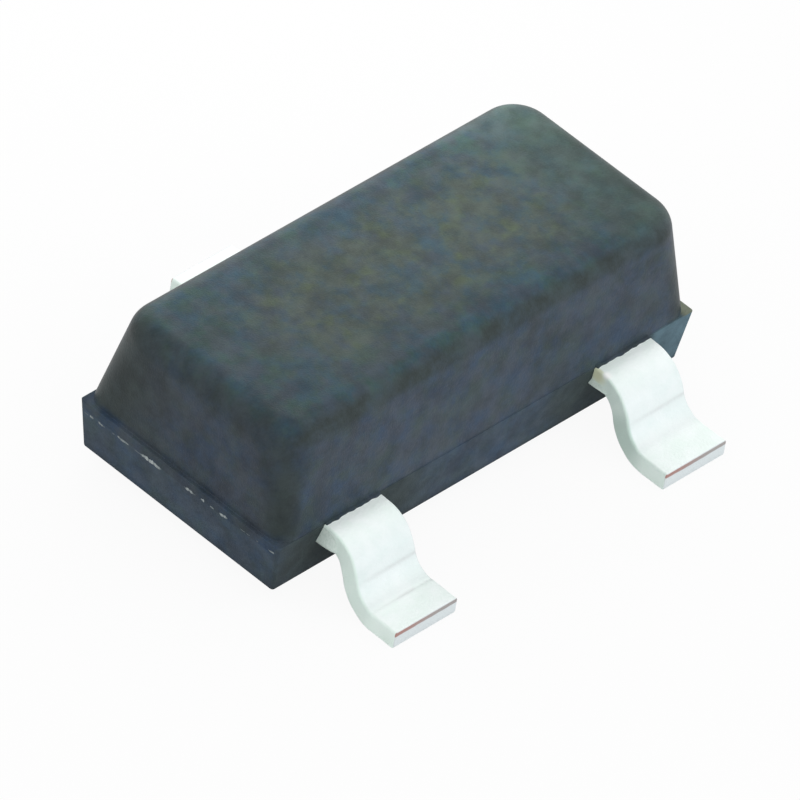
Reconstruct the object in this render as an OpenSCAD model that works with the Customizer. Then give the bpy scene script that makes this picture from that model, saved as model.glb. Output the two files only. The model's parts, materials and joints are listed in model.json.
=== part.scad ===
// Three-lead small-outline transistor: an epoxy body moulded round a stamped and
// formed copper lead frame, with the silicon die and its bond wires inside.
// Millimetres. X runs along the body, the pair of leads points to -Y, Z is up,
// and the origin lies on the seating plane under the middle of the body.

/* [Moulded body] */
// Length of the body at its parting plane
body_length = 2.92; // [2.86:0.01:3.04]
// Width of the body at its parting plane
body_width = 1.38; // [1.30:0.01:1.46]
// Gap between the seating plane and the underside of the body
standoff = 0.09; // [0.05:0.01:0.12]
// Height of the lower half, from the underside to the parting plane
lower_height = 0.31; // [0.28:0.005:0.36]
// Height of the upper half, from the parting plane to the top face
upper_height = 0.61; // [0.56:0.005:0.72]
// Distance that the lower half's ends draw in towards the underside
lower_end_draft = 0.038; // [0.02:0.001:0.08]
// Distance that the lower half's long sides draw in towards the underside
lower_side_draft = 0.028; // [0.01:0.001:0.06]
// Ledge of the lower half beyond the upper half at each end
end_ledge = 0.022; // [0.01:0.001:0.05]
// Ledge of the lower half beyond the upper half along each side
side_ledge = 0.006; // [0.004:0.001:0.03]
// Distance that the upper half's ends draw in below the rounded top edge
upper_end_draft = 0.02; // [0.01:0.001:0.08]
// Distance that the upper half's long sides draw in below the rounded top edge
upper_side_draft = 0.074; // [0.03:0.001:0.10]
// Radius of the upper half's corners at the ledge
ledge_corner_r = 0.105; // [0.06:0.005:0.20]
// Radius of the upper half's corners at the top, seen from above
top_corner_r = 0.215; // [0.16:0.005:0.30]
// Radius that rounds the edge of the top face
top_edge_r = 0.135; // [0.06:0.005:0.15]

/* [Formed leads] */
// Distance between the centre lines of the two front leads
lead_pitch = 1.90; // [1.80:0.01:2.00]
// Distance from the front lead tips to the back lead tip
lead_span = 2.52; // [2.42:0.01:2.64]
// Thickness of the lead frame strip
lead_thickness = 0.11; // [0.085:0.005:0.13]
// Width of a lead where it leaves the body
neck_width = 0.39; // [0.30:0.01:0.43]
// Width of a lead at its foot
foot_width = 0.43; // [0.39:0.005:0.50]
// Flat length of a lead outside the body, before its first bend
shoulder_length = 0.04; // [0.02:0.005:0.08]
// Slope of the leg below the level
leg_angle = 66; // [60:1:74]
// Inside radius of the bend between shoulder and leg
shoulder_bend_r = 0.125; // [0.09:0.005:0.15]
// Inside radius of the bend between leg and foot
foot_bend_r = 0.14; // [0.10:0.005:0.16]

/* [Lead frame inside the body] */
// Length of the die paddle along the body
paddle_length = 1.30; // [1.10:0.01:1.50]
// Width of the die paddle across the body
paddle_width = 0.62; // [0.56:0.01:0.66]
// Epoxy between the back wall of the body and the paddle
paddle_inset = 0.17; // [0.14:0.01:0.20]
// Length of the gate lead's bonding shelf along the body
gate_shelf_length = 0.62; // [0.56:0.01:0.68]
// Length of the source lead's bonding shelf along the body
source_shelf_length = 0.92; // [0.80:0.01:1.00]
// Width of both bonding shelves across the body
shelf_width = 0.26; // [0.20:0.01:0.30]
// Epoxy between the front wall of the body and the bonding shelves
shelf_inset = 0.18; // [0.16:0.01:0.20]
// Reach of a bonding shelf past its lead's centre line, towards the body's end
shelf_overhang = 0.28; // [0.24:0.01:0.32]
// Radius of the corners of the paddle and the shelves
frame_corner_r = 0.05; // [0.02:0.005:0.07]
// Radius of the notches that lock each lead's neck into the epoxy
lock_notch_r = 0.05; // [0.03:0.005:0.07]

/* [Die and wires] */
// Length of the silicon die along the body
die_length = 0.80; // [0.66:0.01:0.96]
// Width of the silicon die across the body
die_width = 0.46; // [0.38:0.01:0.50]
// Thickness of the silicon die
die_thickness = 0.14; // [0.10:0.01:0.20]
// Thickness of the die-attach layer
attach_thickness = 0.02; // [0.01:0.005:0.03]
// Rim of die attach squeezed out round the die
attach_rim = 0.02; // [0.005:0.005:0.03]
// Border of the die that its bond pads leave free
pad_border = 0.04; // [0.02:0.005:0.05]
// Side of the square gate pad
gate_pad_size = 0.14; // [0.11:0.01:0.17]
// Gap between the gate pad and the source pad
pad_gap = 0.05; // [0.02:0.005:0.07]
// Height that the bond pads stand above the die
pad_thickness = 0.008; // [0.005:0.001:0.015]
// Diameter of a bond wire
wire_d = 0.038; // [0.025:0.001:0.05]
// Diameter of the ball that bonds a wire to its pad
ball_d = 0.085; // [0.07:0.005:0.10]
// Height of the squashed ball
ball_height = 0.024; // [0.016:0.002:0.03]
// Height of a wire's loop above its pad, to the middle of the wire
loop_height = 0.17; // [0.13:0.01:0.22]
// Radius of a wire's loop, to the middle of the wire
loop_r = 0.09; // [0.06:0.01:0.11]
// Diameter of the flattened stitch at a wire's far end
stitch_d = 0.10; // [0.08:0.005:0.12]
// Height of the flattened stitch
stitch_height = 0.03; // [0.02:0.005:0.04]
// Distance between the two source wires
source_wire_spacing = 0.26; // [0.16:0.01:0.30]

/* [Hidden] */

// Segments of a plain round shape, and of one that is part of a hull
$fn = 64;
hull_fn = 32;
// Depth to which the foot of the upper half is sunk into the lower half
hull_foot = 0.002;

// Colours
epoxy_colour = [0.27, 0.29, 0.31];
tin_colour = [0.86, 0.87, 0.86];
attach_colour = [0.62, 0.62, 0.60];
silicon_colour = [0.36, 0.38, 0.44];
wire_colour = [0.80, 0.55, 0.36];

// Levels: the frame's upper face lies in the parting plane
parting_z = standoff + lower_height;
top_z = parting_z + upper_height;
frame_bottom = parting_z - lead_thickness;
die_bottom = parting_z + attach_thickness;
die_top = die_bottom + die_thickness;
pad_top = die_top + pad_thickness;

// Half sizes of the body
wall_x = body_length / 2;
wall_y = body_width / 2;
foot_x = wall_x - end_ledge;
foot_y = wall_y - side_ledge;
crown_x = foot_x - upper_end_draft;
crown_y = foot_y - upper_side_draft;
// The rounding of the top edge can't be larger than the corner that it runs round
crown_edge_r = min(top_edge_r, top_corner_r);

// Run of a formed lead, measured along the middle of the strip
shoulder_mean_r = shoulder_bend_r + lead_thickness / 2;
foot_mean_r = foot_bend_r + lead_thickness / 2;
bends_drop = (shoulder_mean_r + foot_mean_r) * (1 - cos(leg_angle));
leg_length = (frame_bottom - bends_drop) / sin(leg_angle);
bends_reach = (shoulder_mean_r + foot_mean_r) * sin(leg_angle) + leg_length * cos(leg_angle);
foot_start = wall_y + shoulder_length + bends_reach;
tip_y = lead_span / 2;
foot_length = tip_y - foot_start;
// The lead widens between these places, a little inside its two bends
flare_start = wall_y + shoulder_length + shoulder_mean_r / 10;
flare_end = foot_start - foot_mean_r / 10;

// Places of the pieces inside the body
front_lead_x = lead_pitch / 2;
paddle_y = wall_y - paddle_inset - paddle_width / 2;
shelf_y = -(wall_y - shelf_inset - shelf_width / 2);
gate_shelf_x = -(front_lead_x + shelf_overhang - gate_shelf_length / 2);
source_shelf_x = front_lead_x + shelf_overhang - source_shelf_length / 2;
gate_pad_x = -(die_length / 2 - pad_border - gate_pad_size / 2);
gate_pad_y = paddle_y - (die_width / 2 - pad_border - gate_pad_size / 2);
source_pad_left = gate_pad_x + gate_pad_size / 2 + pad_gap;
source_pad_right = die_length / 2 - pad_border;
source_pad_x = (source_pad_left + source_pad_right) / 2;
source_pad_size = [source_pad_right - source_pad_left, die_width - 2 * pad_border, pad_thickness];
gate_pad_block = [gate_pad_size, gate_pad_size, pad_thickness];

// A box standing on its own middle
module block(size) {
    translate([-size[0] / 2, -size[1] / 2, 0])
        cube(size);
}

// A flat plate with round corners, its underside at the frame's
module frame_plate(length, width) {
    translate([0, 0, frame_bottom])
        linear_extrude(lead_thickness)
            union() {
                square([length - 2 * frame_corner_r, width], center = true);
                square([length, width - 2 * frame_corner_r], center = true);
                for (x = [-1, 1], y = [-1, 1])
                    translate([x * (length / 2 - frame_corner_r), y * (width / 2 - frame_corner_r)])
                        circle(frame_corner_r);
            }
}

// A straight run of strip along +Y, its upper face level; what follows starts at its end
module run(length) {
    translate([-foot_width / 2, 0, -lead_thickness])
        cube([foot_width, length, lead_thickness]);
    translate([0, length, 0])
        children();
}

// The strip bent downwards, about an axis below it
module bend_down(inner_r, angle) {
    translate([0, 0, -lead_thickness - inner_r]) {
        rotate([0, -90, 0])
            rotate_extrude(angle = angle)
                translate([inner_r, -foot_width / 2])
                    square([lead_thickness, foot_width]);
        rotate([-angle, 0, 0])
            translate([0, 0, lead_thickness + inner_r])
                children();
    }
}

// The strip bent upwards, about an axis above it
module bend_up(inner_r, angle) {
    translate([0, 0, inner_r]) {
        rotate([0, 90, 0])
            rotate_extrude(angle = angle)
                translate([inner_r, -foot_width / 2])
                    square([lead_thickness, foot_width]);
        rotate([angle, 0, 0])
            translate([0, 0, -inner_r])
                children();
    }
}

// The lead seen from above: a parallel neck that widens down the leg to the foot.
// Its ends run past the strip's, so that the strip alone sets the lead's length.
module lead_plan(start_y) {
    neck = neck_width / 2;
    foot = foot_width / 2;
    past_tip = tip_y + lead_thickness;
    before_start = start_y - lead_thickness;
    translate([0, 0, -lead_thickness])
        linear_extrude(parting_z + 2 * lead_thickness)
            polygon([
                [-neck, before_start], [-neck, flare_start], [-foot, flare_end], [-foot, past_tip],
                [foot, past_tip], [foot, flare_end], [neck, flare_start], [neck, before_start]
            ]);
}

// One gull-wing lead towards +Y: it starts inside the body and ends flat on the seating plane
module formed_lead(inset) {
    start_y = wall_y - inset;
    difference() {
        intersection() {
            translate([0, start_y, parting_z])
                run(inset + shoulder_length)
                    bend_down(shoulder_bend_r, leg_angle)
                        run(leg_length)
                            bend_up(foot_bend_r, leg_angle)
                                run(foot_length);
            lead_plan(start_y);
        }
        for (side = [-1, 1])
            translate([side * neck_width / 2, wall_y - inset / 2, frame_bottom - lead_thickness])
                cylinder(r = lock_notch_r, h = 3 * lead_thickness);
    }
}

// A front lead with its bonding shelf, at the given places along the body
module front_lead(lead_x, shelf_x, shelf_length) {
    union() {
        translate([lead_x, 0, 0])
            rotate([0, 0, 180])
                formed_lead(shelf_inset);
        translate([shelf_x, shelf_y, 0])
            frame_plate(shelf_length, shelf_width);
    }
}

// A bond wire from a point on a pad to a point on a shelf: a squashed ball, a rise, a round
// loop, and a straight run that touches the loop as a tangent and ends in a flattened stitch
module bond_wire(pad, shelf) {
    reach = norm(shelf - pad);
    heading = atan2(shelf[1] - pad[1], shelf[0] - pad[0]);
    rise = loop_height - loop_r;
    end_x = reach - loop_r;
    end_z = parting_z + wire_d / 2 - pad_top - rise;
    end_distance = norm([end_x, end_z]);
    dive = asin(loop_r / end_distance) - atan2(end_z, end_x);
    run_length = sqrt(pow(end_distance, 2) - pow(loop_r, 2));
    translate([pad[0], pad[1], pad_top])
        rotate([0, 0, heading]) {
            intersection() {
                translate([0, 0, ball_height / 2])
                    sphere(d = ball_d);
                block([ball_d, ball_d, ball_height]);
            }
            translate([0, 0, ball_height / 2])
                cylinder(d = wire_d, h = rise - ball_height / 2);
            translate([loop_r, 0, rise])
                rotate([90, 0, 180])
                    rotate_extrude(angle = 90 + dive)
                        translate([loop_r, 0])
                            circle(d = wire_d);
            translate([loop_r + loop_r * sin(dive), 0, rise + loop_r * cos(dive)])
                rotate([0, 90 + dive, 0])
                    cylinder(d = wire_d, h = run_length);
        }
    translate([shelf[0], shelf[1], parting_z])
        cylinder(d = stitch_d, h = stitch_height);
}

// A source wire, to the left (-1) or the right (1) of the middle of pad and shelf
module source_wire(side) {
    shift = side * source_wire_spacing / 2;
    bond_wire([source_pad_x + shift, gate_pad_y], [source_shelf_x + shift, shelf_y]);
}

// Lower half of the body: sharp corners, drawn in towards the underside
module lower_half() {
    end_x = wall_x - lower_end_draft;
    end_y = wall_y - lower_side_draft;
    intersection() {
        translate([0, wall_y, standoff])
            rotate([90, 0, 0])
                linear_extrude(body_width)
                    polygon([[-end_x, 0], [end_x, 0], [wall_x, lower_height], [-wall_x, lower_height]]);
        translate([-wall_x, 0, standoff])
            rotate([90, 0, 90])
                linear_extrude(body_length)
                    polygon([[-end_y, 0], [end_y, 0], [wall_y, lower_height], [-wall_y, lower_height]]);
    }
}

// Upper half of the body: drafted walls, round corners and a rounded top edge
module upper_half() {
    hull()
        for (x = [-1, 1], y = [-1, 1]) {
            translate([x * (foot_x - ledge_corner_r), y * (foot_y - ledge_corner_r), parting_z - hull_foot])
                cylinder(r = ledge_corner_r, h = hull_foot, $fn = hull_fn);
            translate([x * (crown_x - top_corner_r), y * (crown_y - top_corner_r), top_z - crown_edge_r])
                rotate_extrude($fn = hull_fn)
                    intersection() {
                        translate([top_corner_r - crown_edge_r, 0])
                            circle(crown_edge_r, $fn = hull_fn);
                        square(top_corner_r);
                    }
        }
}

// Everything that the epoxy is moulded round
module inserts() {
    gate_lead();
    source_lead();
    drain_lead();
    die_attach();
    silicon_die();
    gate_bond_wire();
    source_bond_wire_left();
    source_bond_wire_right();
}

module moulded_body() {
    color(epoxy_colour)
        difference() {
            union() {
                lower_half();
                upper_half();
            }
            inserts();
        }
}

module gate_lead() {
    color(tin_colour)
        front_lead(-front_lead_x, gate_shelf_x, gate_shelf_length);
}

module source_lead() {
    color(tin_colour)
        front_lead(front_lead_x, source_shelf_x, source_shelf_length);
}

module drain_lead() {
    color(tin_colour)
        union() {
            formed_lead(paddle_inset);
            translate([0, paddle_y, 0])
                frame_plate(paddle_length, paddle_width);
        }
}

module die_attach() {
    color(attach_colour)
        translate([0, paddle_y, parting_z])
            block([die_length + 2 * attach_rim, die_width + 2 * attach_rim, attach_thickness]);
}

module silicon_die() {
    color(silicon_colour)
        union() {
            translate([0, paddle_y, die_bottom])
                block([die_length, die_width, die_thickness]);
            translate([gate_pad_x, gate_pad_y, die_top])
                block(gate_pad_block);
            translate([source_pad_x, paddle_y, die_top])
                block(source_pad_size);
        }
}

module gate_bond_wire() {
    color(wire_colour)
        bond_wire([gate_pad_x, gate_pad_y], [gate_shelf_x, shelf_y]);
}

module source_bond_wire_left() {
    color(wire_colour)
        source_wire(-1);
}

module source_bond_wire_right() {
    color(wire_colour)
        source_wire(1);
}

moulded_body();
gate_lead();
source_lead();
drain_lead();
die_attach();
silicon_die();
gate_bond_wire();
source_bond_wire_left();
source_bond_wire_right();
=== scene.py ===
# %% [markdown]
# # A three-lead moulded transistor
#
# The part is a block of dark epoxy, three millimetres long, pressed round a stamped
# metal frame. What shows is one moulding and three tinned leads that bend down to the
# board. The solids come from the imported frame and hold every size. This lesson remakes
# the two visible kinds of piece as finer surfaces, gives every piece its finish, and
# lights the part as a small product photograph.

# %% Load the frame
import json
from types import SimpleNamespace

import bpy
import numpy as np
from mathutils import Matrix, Vector


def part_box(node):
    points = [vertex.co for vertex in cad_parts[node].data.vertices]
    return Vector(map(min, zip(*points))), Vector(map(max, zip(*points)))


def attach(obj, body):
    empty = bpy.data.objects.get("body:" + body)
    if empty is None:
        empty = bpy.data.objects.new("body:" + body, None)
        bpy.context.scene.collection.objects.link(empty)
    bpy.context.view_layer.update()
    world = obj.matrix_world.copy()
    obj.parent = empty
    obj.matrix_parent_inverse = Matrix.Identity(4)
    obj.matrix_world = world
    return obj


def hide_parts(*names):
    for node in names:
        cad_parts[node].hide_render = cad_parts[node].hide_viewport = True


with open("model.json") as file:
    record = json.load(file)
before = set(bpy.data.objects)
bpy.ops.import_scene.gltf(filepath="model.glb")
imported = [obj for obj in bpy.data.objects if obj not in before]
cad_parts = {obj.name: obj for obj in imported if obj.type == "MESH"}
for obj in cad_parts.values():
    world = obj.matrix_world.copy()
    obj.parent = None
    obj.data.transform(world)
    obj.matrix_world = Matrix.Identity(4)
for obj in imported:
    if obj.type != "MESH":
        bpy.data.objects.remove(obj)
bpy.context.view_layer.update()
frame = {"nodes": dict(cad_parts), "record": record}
nodes = frame["nodes"]
MM = 0.001
print("nodes:", sorted(nodes))

# %% [markdown]
# ## Sizes
#
# Lengths, widths and levels are read from the solids, so that a surface lies exactly
# where its solid does. Only radii and drafts, which a box can't show, are written here.
# Everything from here on is worked out in millimetres and scaled to metres at the end,
# because a bend radius of 0.125 is easier to picture than one of 0.000125.

# %% Read the main sizes from the solids
def box_mm(node):
    """Lowest and highest corner of a solid, in millimetres."""
    low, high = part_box(node)
    return np.array(low) / MM, np.array(high) / MM


body_low, body_high = box_mm("moulded_body")
gate_low, gate_high = box_mm("gate_lead")
wall_x, wall_y, top_z = body_high
underside_z = body_low[2]
parting_z = gate_high[2]
tip_y = -gate_low[1]
print(f"body {2 * wall_x:.2f} x {2 * wall_y:.2f} mm, parting plane at {parting_z:.3f}")
print(f"top at {top_z:.3f} mm, lead tips at {tip_y:.3f} mm")

# %% [markdown]
# ## Camera
#
# The view is a long-lens one: the part's parallel edges stay almost parallel in it. The
# camera stands at the front left, about forty degrees up, and leans a little, so the
# part's uprights tilt to the right. Azimuth, elevation and lean turn into three axes of
# the camera, and those fill its matrix directly.

# %% Place the camera
VIEW_AZIMUTH = -51.903     # degrees from the front, towards the left end
VIEW_ELEVATION = 41.127    # degrees above the floor
VIEW_LEAN = -10.058        # degrees that the camera's upright turns to its right
VIEW_DISTANCE = 94.465     # mm from the aim point
VIEW_AIM = np.array([0.103, -0.0375, 0.0663])
FRAME_PIXELS = 800
FOCAL_PIXELS = 19197.2
SENSOR_WIDTH = 36.0


def camera_axes(azimuth, elevation, lean):
    """Right, up and back of a camera: back points from the aim to the camera, right is
    level before the lean, and the lean turns right and up about back."""
    az, el, ro = np.radians([azimuth, elevation, lean])
    back = np.array([np.cos(el) * np.sin(az), -np.cos(el) * np.cos(az), np.sin(el)])
    level = np.cross([0.0, 0.0, 1.0], back)
    level /= np.linalg.norm(level)
    steep = np.cross(back, level)
    right = np.cos(ro) * level - np.sin(ro) * steep
    up = np.sin(ro) * level + np.cos(ro) * steep
    return right, up, back


def placed(spot, right, up, back):
    """The matrix of something at a spot in millimetres, with three directions as its axes."""
    turn = Matrix(np.column_stack([right, up, back]).tolist()).to_4x4()
    return Matrix.Translation(Vector(spot * MM)) @ turn


camera_data = bpy.data.cameras.new("view_camera")
camera_data.sensor_width = SENSOR_WIDTH
camera_data.lens = SENSOR_WIDTH * FOCAL_PIXELS / FRAME_PIXELS
camera_data.clip_start = 0.01
camera_data.clip_end = 10.0
camera = bpy.data.objects.new("view_camera", camera_data)
bpy.context.scene.collection.objects.link(camera)
right, up, back = camera_axes(VIEW_AZIMUTH, VIEW_ELEVATION, VIEW_LEAN)
spot = VIEW_AIM + VIEW_DISTANCE * back
camera.matrix_world = placed(spot, right, up, back)
bpy.context.scene.camera = camera
bpy.context.scene.view_settings.view_transform = "Standard"
print(f"camera at {np.round(spot, 1)} mm, lens {camera_data.lens:.0f} mm")

# %% [markdown]
# ## Building a surface from a grid
#
# Both the body and the leads are stacks of rounded rectangles. One helper gives the
# pattern of such a rectangle, another turns any stack of rings into a closed mesh. The
# whole stack is one numpy array of shape (rings, points, 3), so no loop visits a vertex.

# %% Rounded rectangle pattern and ring mesh
def ring_pattern(arc_steps, x_steps, y_steps):
    """A rounded rectangle as three arrays, anticlockwise: which corner's centre a point
    belongs to, as factors from -1 to 1 in x and y, and the angle of its outward normal.
    Along a straight side the factor runs from one corner's to the next one's."""
    corners = [(1, 1), (-1, 1), (-1, -1), (1, -1)]
    fx, fy, angle = [], [], []
    for turn, (cx, cy) in enumerate(corners):
        nx, ny = corners[(turn + 1) % 4]
        steps = x_steps if cy == ny else y_steps
        along = np.linspace(0, 1, steps + 1)[1:-1]
        quarter = np.linspace(0, np.pi / 2, arc_steps + 1) + turn * np.pi / 2
        fx.append(np.concatenate([np.full(arc_steps + 1, float(cx)), cx + (nx - cx) * along]))
        fy.append(np.concatenate([np.full(arc_steps + 1, float(cy)), cy + (ny - cy) * along]))
        angle.append(np.concatenate([quarter, np.full(len(along), quarter[-1])]))
    return np.concatenate(fx), np.concatenate(fy), np.concatenate(angle)


def rounded_rings(pattern, half_x, half_y, radius):
    """Rings of a rounded rectangle: a corner's centre plus its radius along the normal.
    The sizes are columns, one row a ring, so the result is rings by points."""
    fx, fy, angle = pattern
    x = fx * (half_x - radius) + radius * np.cos(angle)
    y = fy * (half_y - radius) + radius * np.sin(angle)
    return x, y


def ring_mesh(name, points, attributes=None, loop=False):
    """A closed mesh from rings (rings, points, 3) in millimetres: quads between rings, and
    a fan to the middle of the first and the last ring, or, for a loop, quads from the last
    ring to the first. Faces are turned outwards by the sign of the enclosed volume."""
    rings, count, _ = points.shape
    ids = np.arange(rings * count).reshape(rings, count)
    ids = np.concatenate([ids, ids[:1]]) if loop else ids
    after = np.roll(ids, -1, axis=1)
    quads = np.stack([ids[:-1], after[:-1], after[1:], ids[1:]], -1).reshape(-1, 4)
    fan_first = np.stack([np.full(count, rings * count), after[0], ids[0]], -1)
    fan_last = np.stack([np.full(count, rings * count + 1), ids[-1], after[-1]], -1)
    fans = np.concatenate([fan_first, fan_last])[:0 if loop else None]
    middles = points[[0, -1]].mean(axis=1)[:0 if loop else None]
    verts = np.concatenate([points.reshape(-1, 3), middles])
    tris = np.concatenate([quads[:, [0, 1, 2]], quads[:, [0, 2, 3]], fans])
    a, b, c = (verts[tris[:, k]] for k in range(3))
    if np.einsum("ij,ij->", a, np.cross(b, c)) < 0:
        quads, fans = quads[:, ::-1], fans[:, ::-1]
    mesh = bpy.data.meshes.new(name)
    mesh.from_pydata((verts * MM).tolist(), [], quads.tolist() + fans.tolist())
    mesh.shade_smooth()
    for key, values in (attributes or {}).items():
        ends = values[[0, -1]].mean(axis=1)[:len(middles)]
        layer = mesh.attributes.new(key, "FLOAT", "POINT")
        layer.data.foreach_set("value", np.concatenate([values.ravel(), ends]).astype(np.float32))
    piece = bpy.data.objects.new(name, mesh)
    bpy.context.scene.collection.objects.link(piece)
    print(f"{name}: {len(verts)} points, {len(mesh.polygons)} faces")
    return piece


# %% [markdown]
# ## The moulded body
#
# The real body is pressed in two mould halves that meet at the parting plane. The lower
# half is a shallow tray shape with crisp corners. The upper half is tapered, with round
# corners and a rounded top edge, and stands a hair inside the lower half, so a narrow
# ledge runs round the parting plane. A bevelled cube would give every edge one radius.
# A stack of rings lets the corner radius grow on the way up, as it does on the part.

# %% Profile of the body, ring by ring
LOWER_END_DRAFT = 0.038
LOWER_SIDE_DRAFT = 0.028
END_LEDGE = 0.022
SIDE_LEDGE = 0.006
UPPER_END_DRAFT = 0.020
UPPER_SIDE_DRAFT = 0.074
LEDGE_CORNER_R = 0.105
TOP_CORNER_R = 0.215
TOP_EDGE_R = 0.135
TRAY_CORNER_R = 0.016      # the lower half's corners are crisp, but not knife sharp
TRAY_EDGE_R = 0.012
LEDGE_EDGE_R = 0.003
LEDGE_RING = 0.0015        # a ring on the ledge, just outside the crown's foot
UNDER_INSET = 0.02         # where the underside's inner rings start
CAP_SHRINK = (0.55, 0.93)  # inner rings that carry the flat faces to their middle

body_pattern = ring_pattern(arc_steps=16, x_steps=48, y_steps=24)
body_angle = body_pattern[2]


def quarter_steps(count):
    """Angles from 0 to a right angle, as a column."""
    return np.linspace(0, np.pi / 2, count)[:, None]


def stack(*parts):
    """Join groups of rings, each a tuple of half length, half width, corner radius and
    level, after giving every value one number per ring and point."""
    shaped = []
    for part in parts:
        values = [np.asarray(value, float) for value in part]
        shaped.append(np.broadcast_arrays(*values, body_angle[None, :])[:4])
    return [np.concatenate([part[k] for part in shaped]) for k in range(4)]


def flat_cap(half_x, half_y, radius, level):
    """Rings shrinking in place over a flat face, from its rim inwards."""
    keep = np.array([[1 - s] for s in CAP_SHRINK])
    return half_x * keep, half_y * keep, radius * keep, level


def tray_rings():
    """The lower half: a rounded bottom edge, a drafted wall and a fine rounded rim. The
    wall's place runs straight from the underside's size to the parting plane's."""
    low_x, low_y = wall_x - LOWER_END_DRAFT, wall_y - LOWER_SIDE_DRAFT
    turn = quarter_steps(6)
    inset = TRAY_EDGE_R * (1 - np.sin(turn))
    foot = (low_x - inset, low_y - inset, TRAY_CORNER_R, underside_z + TRAY_EDGE_R * (1 - np.cos(turn)))
    part = np.linspace(0.08, 0.94, 9)[:, None]
    wall_low = underside_z + TRAY_EDGE_R
    wall_high = parting_z - LEDGE_EDGE_R
    wall = (
        low_x + (wall_x - low_x) * part, low_y + (wall_y - low_y) * part,
        TRAY_CORNER_R, wall_low + (wall_high - wall_low) * part)
    drop = LEDGE_EDGE_R * (1 - np.cos(quarter_steps(4)))
    rise = LEDGE_EDGE_R * np.sin(quarter_steps(4))
    rim = (wall_x - drop, wall_y - drop, TRAY_CORNER_R, wall_high + rise)
    cap = flat_cap(low_x - UNDER_INSET, low_y - UNDER_INSET, TRAY_CORNER_R, underside_z)
    under = tuple(value[::-1] if np.ndim(value) else value for value in cap)
    return [under, foot, wall, rim]


def crown_rings():
    """The upper half: in every direction a straight drafted wall touches the round top
    edge as a tangent. With the wall's foot at distance h0 and the edge's centre at h1,
    the wall's slope d solves (h0 - h1) cos d - rise sin d = edge radius."""
    foot_x, foot_y = wall_x - END_LEDGE, wall_y - SIDE_LEDGE
    crown_x, crown_y = foot_x - UPPER_END_DRAFT, foot_y - UPPER_SIDE_DRAFT
    cos, sin = np.abs(np.cos(body_angle))[None, :], np.abs(np.sin(body_angle))[None, :]
    reach_foot = (foot_x - LEDGE_CORNER_R) * cos + (foot_y - LEDGE_CORNER_R) * sin + LEDGE_CORNER_R
    reach_edge = (crown_x - TOP_CORNER_R) * cos + (crown_y - TOP_CORNER_R) * sin
    reach_edge = reach_edge + TOP_CORNER_R - TOP_EDGE_R
    rise = top_z - TOP_EDGE_R - parting_z
    span = np.hypot(reach_foot - reach_edge, rise)
    slope = np.arccos(TOP_EDGE_R / span) - np.arctan2(rise, reach_foot - reach_edge)
    turn = slope + (np.pi / 2 - slope) * np.linspace(0, 1, 19)[:, None]
    inset = TOP_EDGE_R * (1 - np.cos(turn))
    drop = TOP_EDGE_R * (1 - np.sin(turn))
    edge = (crown_x - inset, crown_y - inset, TOP_CORNER_R - inset, top_z - drop)
    part = np.concatenate([[0.0], np.linspace(0.02, 0.98, 11)])[:, None]
    foot = (foot_x, foot_y, LEDGE_CORNER_R, parting_z)
    wall = tuple(low + (high[:1] - low) * part for low, high in zip(foot, edge))
    ledge = tuple(size + LEDGE_RING for size in foot[:3]) + (np.array([[parting_z]]),)
    cap = flat_cap(crown_x - TOP_EDGE_R, crown_y - TOP_EDGE_R, TOP_CORNER_R - TOP_EDGE_R, top_z)
    return [ledge, wall, edge, cap]


half_x, half_y, radius, level = stack(*tray_rings(), *crown_rings())
body_x, body_y = rounded_rings(body_pattern, half_x, half_y, radius)
body_points = np.stack([body_x, body_y, level], -1)
body_skin = ring_mesh("body_skin", body_points)
print("body skin reaches", np.round(body_points.max((0, 1)), 3))

# %% [markdown]
# ## Small unevenness
#
# Nothing on the real part is perfectly straight at this size: cut edges waver, and resin
# sets with a ragged rim. A sum of a few waves with chance phases is enough for all of it,
# and a fixed seed makes it the same on every run.

# %% Unevenness from a few waves
chance = np.random.default_rng(23)


def waves(turns, counts):
    """Smooth noise along a path whose length counts as one turn: for each count, a sine with
    that many waves and a chance phase, the sum scaled to about -1 to 1."""
    counts = np.asarray(counts)[:, None]
    phases = chance.uniform(0, 2 * np.pi, counts.shape)
    return np.sin(counts * turns[None, :] * 2 * np.pi + phases).sum(0) / np.sqrt(len(counts))


# %% [markdown]
# ## The formed leads
#
# Each lead is stamped from thin strip and bent twice, like a gull's wing. That is also
# how it is made here. A flat pattern says how wide the strip is at each length along it,
# inside the body too, where it ends in a bonding shelf or the die paddle. A heading says
# how far the strip has turned downwards there. Adding up the heading gives the path, and
# a rounded rectangle carried along it gives the surface.

# %% Path of a formed strip
LEAD_T = 0.11
NECK_W = 0.39
FOOT_W = 0.43
SHOULDER = 0.04
LEG_ANGLE = np.radians(66)
SHOULDER_BEND_R = 0.125
FOOT_BEND_R = 0.14
STRIP_EDGE_R = 0.014
NOTCH_R = 0.05
FRAME_CORNER_R = 0.05

mean_r = np.array([SHOULDER_BEND_R, FOOT_BEND_R]) + LEAD_T / 2
leg_run = (parting_z - LEAD_T - mean_r.sum() * (1 - np.cos(LEG_ANGLE))) / np.sin(LEG_ANGLE)
foot_start = wall_y + SHOULDER + mean_r.sum() * np.sin(LEG_ANGLE) + leg_run * np.cos(LEG_ANGLE)
foot_run = tip_y - foot_start
flare_ends = [wall_y + SHOULDER + mean_r[0] / 10, foot_start - mean_r[1] / 10]


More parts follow.
